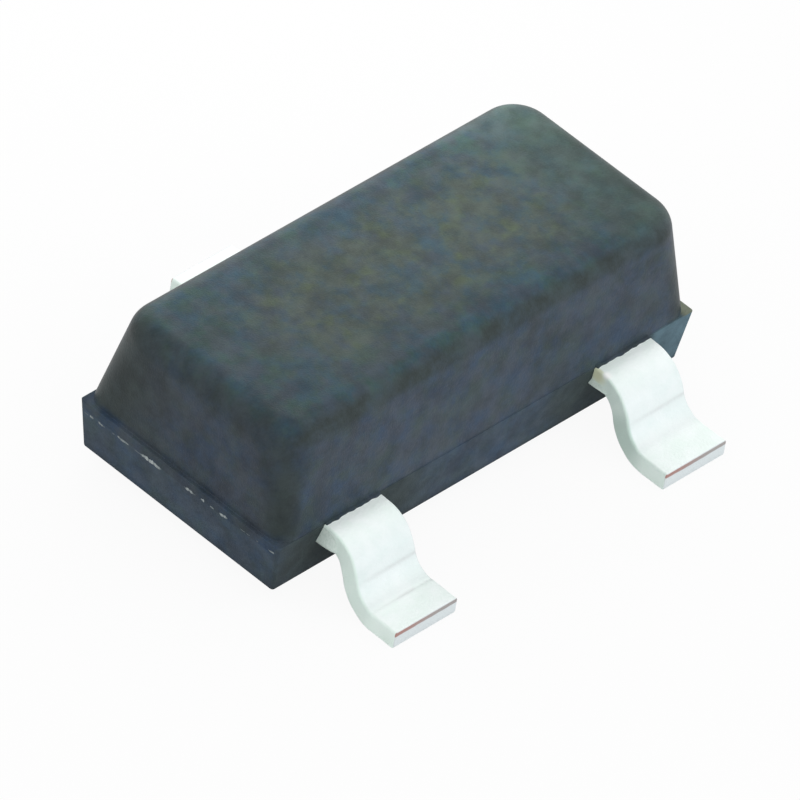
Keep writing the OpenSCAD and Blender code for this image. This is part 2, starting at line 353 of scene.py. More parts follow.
def strip_path(inner_y, lengths):
    """Middle of the strip at each length: outward y, z and the downward heading. The
    heading is level, turns steadily through a bend, holds down the leg and turns back.
    y gathers its cosine and z loses its sine, summed over short steps."""
    level_run = wall_y + SHOULDER - inner_y
    shoulder_bend, foot_bend = LEG_ANGLE * mean_r
    marks = np.cumsum([0, level_run, shoulder_bend, leg_run, foot_bend, foot_run])
    turns = np.array([0, 0, LEG_ANGLE, LEG_ANGLE, 0, 0])
    fine = np.linspace(0, marks[-1], 20001)
    heading = np.interp(fine, marks, turns)
    middle = (heading[1:] + heading[:-1]) / 2
    step = fine[1] - fine[0]
    y = inner_y + np.concatenate([[0], np.cumsum(np.cos(middle)) * step])
    z = parting_z - LEAD_T / 2 - np.concatenate([[0], np.cumsum(np.sin(middle)) * step])
    y, z = (np.interp(lengths, fine, values) for values in (y, z))
    return y, z, np.interp(lengths, marks, turns), marks


print(f"leg {leg_run:.3f} mm, foot {foot_run:.3f} mm from y {foot_start:.3f}")

# %% [markdown]
# The flat pattern has two edges, left and right of the lead's own centre line. Over the
# shelf they follow its rounded corners, at the neck they dip into two half-round notches
# that lock the lead into the epoxy, and down the leg they widen to the foot.

# %% Flat pattern and surface of a lead
STRIP_TIP_R = 0.026        # the punch rolls the tip's lower edge over
TIP_EDGE_R = 0.006
MARK_DEPTH = 0.002         # the forming tool's marks across the strip
MARK_HALF_WIDTH = 0.012
EDGE_WANDER = 0.0010       # how far the cut edges waver outside the body
WANDER_RUN = 0.05          # the length outside the wall over which that sets in
RUN_STEPS = (40, 20, 44, 28)  # rings in the shoulder bend, the leg, the foot bend and the foot
TIP_CAP = (0.003, 0.02, 0.045)  # inner rings that carry the tip's face to its middle


def plate_edge(y, start, end, reach):
    """Edge of a plate with round corners: full reach, less a quarter circle at each end."""
    near = np.minimum(y - start, end - y)
    lift = FRAME_CORNER_R - np.clip(near, 0, FRAME_CORNER_R)
    return reach - FRAME_CORNER_R + np.sqrt(FRAME_CORNER_R**2 - lift**2)


def strip_edges(y, lengths, plate_x, plate_y):
    """Left and right edge of the flat pattern: the plate's over the plate's length, then
    the neck's, less a half-round notch where it lies nearer to the notch's middle than its
    radius, then a straight flare to the foot's."""
    half = np.interp(y, flare_ends, [NECK_W / 2, FOOT_W / 2])
    notch_y = (plate_y[1] + wall_y) / 2
    half = half - np.sqrt(np.clip(NOTCH_R**2 - (y - notch_y) ** 2, 0, None))
    on_plate = lengths <= plate_y[1] - plate_y[0]
    left = np.where(on_plate, -plate_edge(y, *plate_y, -plate_x[0]), -half)
    right = np.where(on_plate, plate_edge(y, *plate_y, plate_x[1]), half)
    return left, right


def lead_piece(name, centre_x, front, plate_x, plate_y, form_marks):
    """One lead from the inner edge of its plate to its tip, in its own frame, where y runs
    outwards. Rings follow the strip, round the tip's edge by a quarter circle, and shrink
    over the tip. A form mark lowers the upper face by a bell curve of the length. The tip's
    lower edge draws back like a circle of the tip radius."""
    bends = strip_path(plate_y[0], np.array([0.0]))[3]
    plate_len = plate_y[1] - plate_y[0]
    ends = [*bends[1:5], bends[5] - TIP_EDGE_R]
    plate = plate_len * (1 - np.cos(np.linspace(0, np.pi, 40))) / 2
    neck = np.linspace(plate_len + 1e-5, bends[1], 60)
    runs = [np.linspace(*run, steps + 1)[1:] for *run, steps in zip(ends[:-1], ends[1:], RUN_STEPS)]
    lengths = np.concatenate([plate, neck, *runs])
    turn = np.linspace(0, np.pi / 2, 5)[1:]
    cap = TIP_EDGE_R + np.array(TIP_CAP)
    shrink = np.concatenate([0 * lengths, TIP_EDGE_R * (1 - np.cos(turn)), cap])
    rounding = bends[5] - TIP_EDGE_R * (1 - np.sin(turn))
    lengths = np.concatenate([lengths, rounding, np.full(len(TIP_CAP), bends[5])])
    y, z, heading, _ = strip_path(plate_y[0], lengths)
    left, right = strip_edges(y, lengths, plate_x, plate_y)
    waver = EDGE_WANDER * np.clip((y - wall_y) / WANDER_RUN, 0, 1)
    left = left + waver * waves(lengths / lengths[-1], (3, 5, 8, 13))
    right = right + waver * waves(lengths / lengths[-1], (3, 5, 8, 13))
    pattern = ring_pattern(arc_steps=6, x_steps=16, y_steps=6)
    across, through = rounded_rings(
        pattern, ((right - left) / 2 - shrink)[:, None], (LEAD_T / 2 - shrink)[:, None],
        np.maximum(STRIP_EDGE_R - shrink, 0.001)[:, None])
    along = np.broadcast_to((lengths - bends[1])[:, None], across.shape)
    sideways = 2 * across / (right - left)[:, None]
    mark = sum(np.exp(-(((along - place) / MARK_HALF_WIDTH) ** 2)) for place in form_marks)
    mark = mark * np.clip(2 * through / LEAD_T, 0, 1) * (0.6 + 0.4 * sideways)
    through = through - MARK_DEPTH * mark
    across = across + (right + left)[:, None] / 2
    y, z, heading = y[:, None], z[:, None], heading[:, None]
    height = np.clip(through + LEAD_T / 2, 0, STRIP_TIP_R)
    roll = STRIP_TIP_R - np.sqrt(STRIP_TIP_R**2 - (STRIP_TIP_R - height) ** 2)
    out = y + through * np.sin(heading)
    out = out - roll * np.clip((out - foot_start) / foot_run, 0, 1) ** 4
    side = -1.0 if front else 1.0
    points = np.stack([centre_x + across, side * out, z + through * np.cos(heading)], -1)
    piece = ring_mesh(name, points, {"along": along, "sideways": sideways, "mark": mark})
    low, high = points.min((0, 1)), points.max((0, 1))
    print(f"{name} spans y {low[1]:.3f} to {high[1]:.3f}, lowest {low[2]:.4f}")
    return piece


# %% Make the three leads
LEAD_CENTRES = {"gate_lead": -0.95, "source_lead": 0.95, "drain_lead": 0.0}
FORM_MARKS = {"gate_lead": (0.267, 0.478), "source_lead": (0.257,), "drain_lead": (0.262, 0.478)}
SHELF_INSET = 0.18
PADDLE_INSET = 0.17


def lead_from_solid(name):
    """Take a lead's plate from its solid's box: its limits along the body are the box's,
    its outer edge lies an inset inside the wall, and its inner edge is the box's end."""
    low, high = box_mm(name)
    front = low[1] < -wall_y
    inner, inset = (-high[1], SHELF_INSET) if front else (low[1], PADDLE_INSET)
    centre = LEAD_CENTRES[name]
    limits = (low[0] - centre, high[0] - centre)
    return lead_piece(name + "_skin", centre, front, limits, (inner, wall_y - inset), FORM_MARKS[name])


lead_skins = {name: lead_from_solid(name) for name in LEAD_CENTRES}

# %% [markdown]
# ## Traces of the mould
#
# Two things show that the body was pressed and not cut. Resin creeps about a hundredth of
# a millimetre along each lead before it sets, which leaves a thin collar with an uneven
# rim. And level with the middle of the frame, which the mould halves clamp, a thread of
# torn resin runs along both end walls, with pale flakes on the left one. A modifier could
# crumple a plain ridge, but a height given by a formula of the place along the wall keeps
# it low, closed and the same on every run.

# %% Resin collars round the leads
COLLAR_REACH = 0.014       # how far resin creeps along a lead, and how much that varies
COLLAR_WANDER = 0.003
COLLAR_FILM = 0.007
COLLAR_ROOT = 0.03         # how far a collar starts inside the wall
COLLAR_DIP = 0.01          # how deep its last ring dips into the lead


def resin_collar(name, centre_x, front):
    """A film round a lead. Its rings run from inside the wall to its rim, where its
    thickness falls to nothing as a quarter ellipse, and one more ring dips into the lead.
    Waves round the lead move the rim in and out. On the left side of a front lead, where
    the normal points to -x, the film sinks into the lead and leaves room for a burr."""
    pattern = ring_pattern(arc_steps=4, x_steps=60, y_steps=16)
    turns = np.arange(len(pattern[0])) / len(pattern[0])
    rim = wall_y + COLLAR_REACH + COLLAR_WANDER * waves(turns, (3, 7, 11, 19))
    part = np.sin(quarter_steps(10))
    y = wall_y - COLLAR_ROOT + part * (rim - wall_y + COLLAR_ROOT)
    film = COLLAR_FILM * np.sqrt(1 - part**2)
    y, film = np.concatenate([y, y[-1:]]), np.concatenate([film, [[-COLLAR_DIP]]])
    keep = np.clip((np.cos(pattern[2]) + 0.9) / 0.4, 0, 1) if front else np.ones(len(turns))
    film = film * keep - COLLAR_DIP * (1 - keep)
    across, through = rounded_rings(pattern, NECK_W / 2 + film, LEAD_T / 2 + film, STRIP_EDGE_R + film)
    points = np.stack([centre_x + across, -y if front else y, parting_z - LEAD_T / 2 + through], -1)
    return ring_mesh(name, points)


collars = [
    resin_collar(name.replace("lead", "collar"), centre, name != "drain_lead")
    for name, centre in LEAD_CENTRES.items()]

# %% Torn thread along the two ends
THREAD_DEPTH = LEAD_T / 2 + 0.004  # below the ledge, in the middle of an end
THREAD_LEAN = 0.022        # how much lower it lies per mm towards the back
THREAD_HALF = 0.003        # half its height, and how much a flake adds to that
FLAKE_HALF = 0.010
THREAD_OUT = 0.0005        # how far it stands out of the wall, and what a flake adds
FLAKE_OUT = 0.0025
THREAD_SUNK = 0.004        # how deep its inner points lie in the wall
THREAD_STOP = 0.025        # how far from a corner it ends
THREAD_WANDER = 0.002      # how far it strays up and down
FLAKE_CUT = 0.12           # a flake ends where its strength falls to this
THREAD_SECTION = (
    # how far out and how high a point lies, as shares
    (0.7, -0.75), (1.0, -0.3), (1.0, 0.3), (0.7, 0.75))
LEFT_FLAKES = (
    # place along y, half length and strength
    (0.608, 0.012, 0.5), (0.545, 0.018, 0.3), (0.390, 0.040, 0.35),
    (0.195, 0.060, 1.0), (-0.073, 0.024, 0.6), (-0.165, 0.012, 0.5),
    (-0.230, 0.016, 0.2), (-0.310, 0.024, 0.6), (-0.645, 0.016, 0.3))


def torn_thread(name, side):
    """A thread along one end wall, from corner to corner. Its section is four points outside
    and two inside the wall. A noise along it decides where the thread shows, each flake adds
    a flat-topped bell to its size and paleness, and a finer noise makes that ragged. A point
    at depth d stands back with the wall, by the end's draft times its share of the wall."""
    turns = np.linspace(0, 1, 400)
    y = ((2 * turns - 1) * (wall_y - THREAD_STOP))[:, None]
    noise = waves(turns, (7, 11, 16, 21, 27))[:, None]
    ragged = waves(turns, (33, 47, 61, 79))[:, None]
    flakes = sum(power * np.exp(-(((y - place) / half) ** 4)) for place, half, power in LEFT_FLAKES)
    flakes = flakes if side < 0 else 0.6 * np.clip(noise - 0.9, 0, 1)
    bulk = np.sqrt(np.clip(flakes - FLAKE_CUT, 0, None))
    out = THREAD_OUT * np.clip(noise - 0.5, -1, 1) + FLAKE_OUT * bulk
    half = THREAD_HALF + FLAKE_HALF * bulk * (1 + 0.35 * ragged)
    share_out, share_up = np.array(THREAD_SECTION).T
    out = np.concatenate([0 * y - THREAD_SUNK, out * share_out, 0 * y - THREAD_SUNK], 1)
    middle = THREAD_DEPTH + THREAD_LEAN * y + THREAD_WANDER * noise
    depth = middle - half * np.concatenate([[-1.0], share_up, [1.0]])
    wall_rise = parting_z - underside_z - TRAY_EDGE_R - LEDGE_EDGE_R
    x = wall_x - LOWER_END_DRAFT * (depth - LEDGE_EDGE_R) / wall_rise + out
    points = np.stack(np.broadcast_arrays(side * x, y, parting_z - depth), -1)
    pale = np.broadcast_to(np.clip(bulk * (0.7 + 0.2 * ragged), 0, 1), x.shape)
    return ring_mesh(name, points, {"pale": pale})


threads = [torn_thread("left_thread", -1), torn_thread("right_thread", 1)]

# %% [markdown]
# A lead is also cut free of the bar that held the frame together during moulding. On the
# left side of each front lead the cut left a small burr, a ridge of metal at the wall.

# %% Cutting burrs
BURRS = {
    # how far it sticks out, how deep below the lead's top its edge lies, and how deep it starts
    "gate_burr": (0.031, 0.102, 0.012), "source_burr": (0.021, 0.097, 0.073)}
BURR_LENGTH = 0.115
BURR_ROOT = 0.012          # how far it lies inside the lead and the wall
BURR_TUCK = 0.002          # how far inside the lead's side its upper corner starts
BURR_LIFT = 0.004          # how far above the lead's underside it ends


def cutting_burr(name):
    """A ridge on the left side of a lead that starts at the wall. Its section has four
    corners, of which only the one that sticks out lies outside the lead. It sinks into the
    lead as a quarter ellipse of the length, and falls with the circle of the shoulder bend."""
    reach, depth, start = BURRS[name]
    upper = [BURR_TUCK, -start]
    corners = np.array([
        upper, [-reach, -depth], [BURR_ROOT, BURR_LIFT - LEAD_T], [BURR_ROOT, -start], upper])
    steps = np.linspace(0, 4, 33)[:-1]
    across, up = (np.interp(steps, np.arange(5), corners[:, k]) for k in range(2))
    along = np.linspace(-BURR_ROOT, BURR_LENGTH, 40)[:, None]
    size = np.sqrt(1 - (np.clip(along, 0, None) / BURR_LENGTH) ** 2.5)
    lead_side = LEAD_CENTRES[name.replace("burr", "lead")] - NECK_W / 2
    x = lead_side + BURR_ROOT + (across - BURR_ROOT) * size
    bend_r = SHOULDER_BEND_R + LEAD_T
    fall = bend_r - np.sqrt(bend_r**2 - np.clip(along - SHOULDER, 0, None) ** 2)
    points = np.stack(np.broadcast_arrays(x, -wall_y - along, parting_z - fall + up), -1)
    return ring_mesh(name, points)


burrs = [cutting_burr(name) for name in BURRS]

# %% [markdown]
# ## Finishes
#
# Every finish works on the piece's own coordinates, turned into millimetres, so a grain
# of a hundredth of a millimetre is a scale of about a hundred. One node group makes the
# fine grain that several finishes share. Each finish then has its own colours and gloss.

# %% Helpers for materials
def new_group(name, inputs, outputs):
    """An empty shader node group with named float, vector or colour sockets."""
    group = bpy.data.node_groups.new(name, "ShaderNodeTree")
    for key, kind, value in inputs:
        socket = group.interface.new_socket(key, in_out="INPUT", socket_type=kind)
        if value is not None:
            socket.default_value = value
    for key, kind in outputs:
        group.interface.new_socket(key, in_out="OUTPUT", socket_type=kind)
    return group, group.nodes.new("NodeGroupInput"), group.nodes.new("NodeGroupOutput")


def node(tree, kind, links=None, **settings):
    """Add a node, set its properties or input values by name, and link its inputs."""
    made = tree.nodes.new(kind)
    for key, value in settings.items():
        if hasattr(made, key):
            setattr(made, key, value)
        else:
            made.inputs[key.replace("_", " ")].default_value = value
    for key, source in (links or {}).items():
        tree.links.new(source, made.inputs[key])
    return made


def math(tree, operation, first, second=0.5, third=None):
    """A math node on sockets or numbers."""
    made = tree.nodes.new("ShaderNodeMath")
    made.operation = operation
    for slot, value in enumerate((first, second, third)):
        if isinstance(value, bpy.types.NodeSocket):
            tree.links.new(value, made.inputs[slot])
        elif value is not None:
            made.inputs[slot].default_value = value
    return made.outputs[0]


def times(tree, product, *factors):
    """The product of sockets or numbers."""
    for factor in factors:
        product = math(tree, "MULTIPLY", product, factor)
    return product


def ramp(tree, factor, low, high, out_low=0.0, out_high=1.0):
    """A smooth step from out_low to out_high as factor goes from low to high."""
    made = tree.nodes.new("ShaderNodeMapRange")
    made.interpolation_type = "SMOOTHSTEP"
    limits = {"From Min": low, "From Max": high, "To Min": out_low, "To Max": out_high}
    for key, value in limits.items():
        made.inputs[key].default_value = value
    tree.links.new(factor, made.inputs["Value"])
    return made.outputs["Result"]


def mix(tree, factor, first, second):
    """Mix two colours, each a socket or a tuple."""
    made = tree.nodes.new("ShaderNodeMix")
    made.data_type = "RGBA"
    tree.links.new(factor, made.inputs["Factor"])
    for slot, value in ((6, first), (7, second)):
        if isinstance(value, bpy.types.NodeSocket):
            tree.links.new(value, made.inputs[slot])
        else:
            made.inputs[slot].default_value = (*value, 1.0)
    return made.outputs[2]


def new_material(name, roughness=0.5, metallic=0.0, specular=0.5):
    """A material with one Principled shader, and the piece's coordinates in millimetres."""
    material = bpy.data.materials.new(name)
    material.use_nodes = True
    tree = material.node_tree
    shader = tree.nodes["Principled BSDF"]
    shader.inputs["Roughness"].default_value = roughness
    shader.inputs["Metallic"].default_value = metallic
    shader.inputs["Specular IOR Level"].default_value = specular
    place = tree.nodes.new("ShaderNodeTexCoord")
    scale = tree.nodes.new("ShaderNodeMapping")
    scale.inputs["Scale"].default_value = (1 / MM, 1 / MM, 1 / MM)
    tree.links.new(place.outputs["Object"], scale.inputs["Vector"])
    return material, tree, shader, scale.outputs["Vector"]


def srgb(red, green, blue):
    """A colour on the 0 to 255 scale of a picture, as the linear values that nodes use."""
    value = np.array([red, green, blue]) / 255
    return tuple(np.where(value <= 0.04045, value / 12.92, ((value + 0.055) / 1.055) ** 2.4))


# %% [markdown]
# The shared grain mixes two noises, one of the filler's grains and one of broader,
# cloudy patches, and gives out a mask of each and a height for a bump.

# %% Fine grain group
grain, grain_in, grain_out = new_group(
    "fine grain",
    [("Place", "NodeSocketVector", None), ("Grain scale", "NodeSocketFloat", 90.0),
     ("Cloud scale", "NodeSocketFloat", 4.0)],
    [("Grain", "NodeSocketFloat"), ("Clouds", "NodeSocketFloat"), ("Height", "NodeSocketFloat")])
fine = node(
    grain, "ShaderNodeTexNoise",
    {"Vector": grain_in.outputs["Place"], "Scale": grain_in.outputs["Grain scale"]},
    Detail=3.0, Roughness=0.6)
cloud = node(
    grain, "ShaderNodeTexNoise",
    {"Vector": grain_in.outputs["Place"], "Scale": grain_in.outputs["Cloud scale"]},
    Detail=4.0, Roughness=0.55)
height = math(grain, "MULTIPLY_ADD", cloud.outputs["Fac"], 0.4, fine.outputs["Fac"])
grain.links.new(fine.outputs["Fac"], grain_out.inputs["Grain"])
grain.links.new(cloud.outputs["Fac"], grain_out.inputs["Clouds"])
grain.links.new(height, grain_out.inputs["Height"])
print("group:", grain.name)


def add_grain(tree, place, grain_scale, cloud_scale):
    """Place the shared grain in a material, with its own scales."""
    made = tree.nodes.new("ShaderNodeGroup")
    made.node_tree = grain
    tree.links.new(place, made.inputs["Place"])
    made.inputs["Grain scale"].default_value = grain_scale
    made.inputs["Cloud scale"].default_value = cloud_scale
    return made


def add_bump(tree, shader, height, depth):
    """Bump from a height, with a depth in millimetres."""
    bump = tree.nodes.new("ShaderNodeBump")
    bump.inputs["Distance"].default_value = depth * MM
    tree.links.new(height, bump.inputs["Height"])
    tree.links.new(bump.outputs["Normal"], shader.inputs["Normal"])


# %% [markdown]
# ### Moulded epoxy
#
# Mould compound is mostly silica flour in a black resin, so it is a matte charcoal and
# slightly blue. Flow and handling leave blotches a tenth of a millimetre wide that drift
# in three ways: lighter or darker, bluer or greener, and towards violet. One noise can't
# do that, because its three ways would move together, so a group holds three of them.

# %% Mottle group
mottle, mottle_in, mottle_out = new_group(
    "mottle", [("Place", "NodeSocketVector", None), ("Scale", "NodeSocketFloat", 8.0)],
    [(key, "NodeSocketFloat") for key in ("Tone", "Cool", "Violet")])
for key, shift in (("Tone", 0.0), ("Cool", 4.7), ("Violet", 9.1)):
    patch = node(
        mottle, "ShaderNodeTexNoise",
        {"Vector": mottle_in.outputs["Place"], "Scale": mottle_in.outputs["Scale"]},
        noise_dimensions="4D", W=shift, Detail=4.0, Roughness=0.62)
    mottle.links.new(patch.outputs["Fac"], mottle_out.inputs[key])
print("group:", mottle.name)


# %% [markdown]
# The finish also changes from face to face. One function works out where on the body a
# point lies, as masks from 0 to 1, and the colour and the tone then weigh those masks. The
# alternative, a material slot for each face, would leave hard seams between them.

# %% Places on the body
TONE_EDGE = 0.004          # half the height over which the tone changes at the seam, in mm


def body_places(tree, place):
    """Masks of the body's faces, from the place in millimetres. On an end the seam lies at
    the torn thread's depth, so the height is raised by that depth before it is compared.
    The front's masks count for the back too. The painted lead shade is the lower half near a
    front lead's place, darkened as shade of the leads."""
    parts = node(tree, "ShaderNodeSeparateXYZ", {"Vector": place})
    x, y, z = (parts.outputs[axis] for axis in "XYZ")
    along, across = math(tree, "DIVIDE", x, wall_x), math(tree, "DIVIDE", y, wall_y)
    aside, ahead = math(tree, "ABSOLUTE", along), math(tree, "ABSOLUTE", across)
    at_end, on_front = ramp(tree, aside, 0.84, 0.98), ramp(tree, ahead, 0.93, 0.98)
    flat_end = times(tree, at_end, math(tree, "SUBTRACT", 1.0, on_front))
    seam = math(tree, "MULTIPLY_ADD", flat_end, THREAD_DEPTH, z)
    lower = ramp(tree, seam, parting_z + TONE_EDGE, parting_z - TONE_EDGE)
    # Painted shade: the lower half beside the outer leads, where their shade falls.
    beside = math(tree, "SUBTRACT", math(tree, "ABSOLUTE", x), LEAD_CENTRES["source_lead"])
    painted_lead_shade = times(tree, lower, on_front, ramp(tree, math(tree, "ABSOLUTE", beside), 0.65, 0.30))
    return SimpleNamespace(
        x=x, y=y, z=z, aside=aside, ahead=ahead, at_end=at_end, on_front=on_front,
        flat_end=flat_end, lower=lower, painted_lead_shade=painted_lead_shade, lean=math(tree, "ADD", along, across),
        on_top=ramp(tree, z, top_z - 0.1, top_z),
        off_ledge=math(tree, "ABSOLUTE", math(tree, "SUBTRACT", z, parting_z)))


# %% Epoxy colour
# Some of these colours are painted light and shade: the top's right end lighter, the crown's edges darker,
# the lower half beside the outer leads darker, and a painted reflection on the lower front at the right end.
RESIN = {
    "wall": srgb(55, 68, 70), "wall cool": srgb(49, 65, 84),
    "crown": srgb(52, 75, 71), "crown cool": srgb(45, 70, 84),
    "violet": srgb(62, 68, 77), "rubbed": srgb(69, 78, 72), "fleck": srgb(73, 86, 64),
    "far end": srgb(62, 78, 70), "edge": srgb(49, 58, 57), "lower": srgb(55, 66, 76),
    "painted_lead_shade": srgb(57, 66, 63), "painted_reflection": srgb(82, 104, 114), "ledge corner": srgb(106, 112, 98),
}


def painted_crown_shade(tree, at, patches):
    """Painted shade on the crown: the upright corners and the back half of its ends, half as much
    along their top edge, and in patches the brow between long wall and top."""
    upright = math(tree, "MAXIMUM", ramp(tree, at.ahead, 0.62, 0.90), ramp(tree, at.y, 0.0, 0.5))
    crest = ramp(tree, at.z, top_z - 0.22, top_z - 0.10, 0.0, 0.5)
    ends = times(
        tree, ramp(tree, at.aside, 0.86, 0.95), math(tree, "MAXIMUM", upright, crest),
        ramp(tree, at.z, parting_z, parting_z + 0.05, 0.0, 0.9))
    brow = times(
        tree, ramp(tree, at.ahead, 0.76, 0.84), ramp(tree, at.z, top_z - 0.14, top_z - 0.07),
        ramp(tree, patches.outputs["Tone"], 0.35, 0.65, 1.0, 0.6))
    return math(tree, "MAXIMUM", ends, brow)


def epoxy_colour(tree, at, patches, place):
    """Bluish walls and a greener crown, both drifting to violet, then the top's rubbed middle
    with its flecks, painted light on the top's right end, painted shade on the crown's edges,
    the bluer lower half with painted shade beside the outer leads, a painted reflection at its
    front right corner, and a pale ledge there."""
    cool = ramp(tree, patches.outputs["Cool"], 0.35, 0.65)
    walls = mix(tree, cool, RESIN["wall"], RESIN["wall cool"])
    crown = mix(tree, cool, RESIN["crown"], RESIN["crown cool"])
    base = mix(tree, at.on_top, walls, crown)
    violet = ramp(tree, patches.outputs["Violet"], 0.37, 0.63, 0.0, 0.65)
    rubbed = times(
        tree, ramp(tree, at.aside, 0.85, 0.45), ramp(tree, at.ahead, 0.75, 0.3),
        ramp(tree, at.z, top_z - 0.02, top_z), ramp(tree, patches.outputs["Cool"], 0.65, 0.35, 0.2, 0.9))
    specks = node(tree, "ShaderNodeTexNoise", {"Vector": place}, Scale=9.0, Detail=1.0)
    fleck = times(tree, ramp(tree, specks.outputs["Fac"], 0.50, 0.72, 0.0, 0.7), rubbed)
    # A painted reflection on the lower front at the right end. The ledge at that corner is painted pale.
    front_right = times(tree, ramp(tree, at.y, 0.0, -wall_y), ramp(tree, at.x, 1.10, 1.22))
    ledge_corner = times(
        tree, ramp(tree, at.off_ledge, 0.005, 0.002), ramp(tree, at.y, -0.3, -wall_y),
        ramp(tree, at.x, wall_x - 0.09, wall_x - 0.05))
    layers = {
        "violet": violet, "rubbed": rubbed, "fleck": fleck,
        # Painted light: the top's right end lighter and greener. Painted shade: the crown's edges.
        "far end": times(tree, ramp(tree, at.x, 0.80, 1.20, 0.0, 0.6), at.on_top),
        "edge": painted_crown_shade(tree, at, patches),
        # The lower half bluer, and painted shade beside the outer leads.
        "lower": times(tree, at.lower, 0.4), "painted_lead_shade": times(tree, at.painted_lead_shade, 0.7),
        "painted_reflection": times(tree, at.lower, at.on_front, front_right), "ledge corner": ledge_corner,
    }
    for name, weight in layers.items():
        base = mix(tree, weight, base, RESIN[name])
    return base


# %% Epoxy tone and material
def epoxy_tone(tree, at, patches, speckle):
    """How bright the resin is: blotches, clouds and grain first, then painted light and shade by
    place. The lower half is painted lighter as bounce light from the floor, the ends darker as
    painted shade but lighter again from the ledge down, the ledge on the ends lighter to lift
    the shade in that corner, and the lower half beside the outer leads darker as their shade.
    The top is painted lighter towards its back right corner, with a painted sheen at that
    corner, and the foot of the walls is painted darker as shade."""
    tone = math(tree, "MULTIPLY_ADD", speckle.outputs["Clouds"], 0.5, patches.outputs["Tone"])
    tone = math(tree, "MULTIPLY_ADD", speckle.outputs["Grain"], 0.25, tone)
    value = ramp(tree, tone, 0.61, 1.14, 0.64, 1.14)
    # Painted light and shade by place: the ends darker, lighter again from the ledge down and on their ledge,
    # the lower half lighter, and darker beside the outer leads.
    below = times(tree, at.at_end, ramp(tree, at.z, parting_z + 0.003, parting_z + 0.0005))
    ledge = times(tree, ramp(tree, at.off_ledge, 0.002, 0.0005), at.flat_end)
    changes = (
        (at.lower, 0.25), (at.at_end, -0.14), (below, 0.20), (at.painted_lead_shade, -0.24), (ledge, 0.15))
    for weight, change in changes:
        value = times(tree, value, math(tree, "MULTIPLY_ADD", weight, change, 1.0))
    # Painted shade towards the underside, and painted light over the top towards its back right corner, with
    # a painted sheen at that corner.
    foot = ramp(tree, at.z, underside_z, underside_z + 0.06, 0.72, 1.0)
    painted_top_light = math(tree, "MULTIPLY_ADD", times(tree, at.lean, at.on_top), 0.145, 1.06)
    painted_sheen = times(tree, ramp(tree, at.lean, 1.0, 1.6, 0.11, 0.64), at.on_top)
    return times(tree, value, foot, painted_top_light, math(tree, "ADD", painted_sheen, 1.0))


def epoxy_finish():
    """Moulded resin, matte in the lower half and smoother above the ledge."""
    material, tree, shader, place = new_material("moulded epoxy", specular=0.16)
    speckle = add_grain(tree, place, 95.0, 2.4)
    patches = node(tree, "ShaderNodeGroup", {"Place": place}, node_tree=mottle)
    at = body_places(tree, place)
    colour = epoxy_colour(tree, at, patches, place)
    value = epoxy_tone(tree, at, patches, speckle)
    shade = node(tree, "ShaderNodeHueSaturation", {"Color": colour, "Value": value})
    tree.links.new(shade.outputs["Color"], shader.inputs["Base Color"])
    rough = ramp(tree, at.z, parting_z + 0.0005, parting_z + 0.003, 0.80, 0.47)
    rough = math(tree, "MULTIPLY_ADD", speckle.outputs["Grain"], -0.1, rough)
    tree.links.new(rough, shader.inputs["Roughness"])
    add_bump(tree, shader, speckle.outputs["Height"], 0.002)
    return material


# %% [markdown]
# The torn thread is the same resin, painted a little lighter than the body to lift the shade
# along the ledge. Along its flakes it is paler, partly as thin torn resin and partly as a painted
# highlight where the torn rim catches the light.

# %% Torn resin material
def stored(tree, name):
    """A value stored on the points of a piece."""
    return node(tree, "ShaderNodeAttribute", attribute_name=name).outputs["Fac"]


def thread_finish():
    """Torn resin, painted a little lighter than the body, to a pale grey along the flakes that is
    partly a painted highlight.
    """
    material, tree, shader, place = new_material("torn resin", roughness=0.5)
    speckle = add_grain(tree, place, 120.0, 20.0)
    uneven = ramp(tree, speckle.outputs["Grain"], 0.3, 0.6, 0.6, 1.0)
    # Paler along the flakes: partly thin resin, partly a painted highlight.
    pale = times(tree, stored(tree, "pale"), uneven)
    colour = mix(tree, pale, srgb(76, 88, 93), srgb(176, 184, 184))
    tree.links.new(colour, shader.inputs["Base Color"])
    add_bump(tree, shader, speckle.outputs["Height"], 0.002)
    return material


# %% [markdown]
# ### Tinned leads
#
# Matte tin is almost white and scatters light more than it mirrors it. The punch that
# cuts the strip drags tin over the tip but leaves a line of bare copper under its upper
# edge, and the forming tool leaves faint grey marks across the strip. The marks follow
# the strip, so they use the lengths that were stored on its points. Shade over the bend, the
# leg and the left side, and one glint, are painted into the colour.

# %% Tin material
COPPER_LEVELS = (
    # heights at which the bare line fades in, and out again
    LEAD_T - 0.030, LEAD_T - 0.021, LEAD_T - 0.004, LEAD_T - 0.001)
COPPER_WAVER = 0.016       # how much the line's lower rim moves up and down
STAIN_PLACE = (0.755, -0.712, 0.370)  # a yellowish stain on the source lead's side, in mm
STAIN_RADIUS = 0.080
GLINT_PLACE = (0.766, -0.765, 0.397)  # a painted glint on its edge
GLINT_RADIUS = 0.034
# Some of these tints are painted light and shade: greyer over the bend and the leg, greener and darker on the
# left side, darker on the source lead's side, and one painted glint.
TIN = {
    "flat": srgb(236, 247, 242), "flat pale": srgb(243, 250, 248),
    "painted_leg_shade": srgb(216, 225, 223), "painted_leg_shade pale": srgb(223, 229, 228),
    "painted_side_shade high": srgb(218, 246, 231), "painted_side_shade low": srgb(200, 224, 212), "dull": srgb(188, 208, 199),
    "stain": srgb(222, 227, 196), "painted_glint": srgb(252, 255, 252), "marked": srgb(190, 193, 192),
    "tip": srgb(211, 218, 219), "copper": srgb(152, 92, 78), "copper dull": srgb(142, 131, 127),
}


def near(tree, place, centre, radius):
    """A soft mask round a point."""
    apart = node(tree, "ShaderNodeVectorMath", {0: place}, operation="DISTANCE")
    apart.inputs[1].default_value = centre
    return ramp(tree, apart.outputs["Value"], radius, 0.2 * radius)


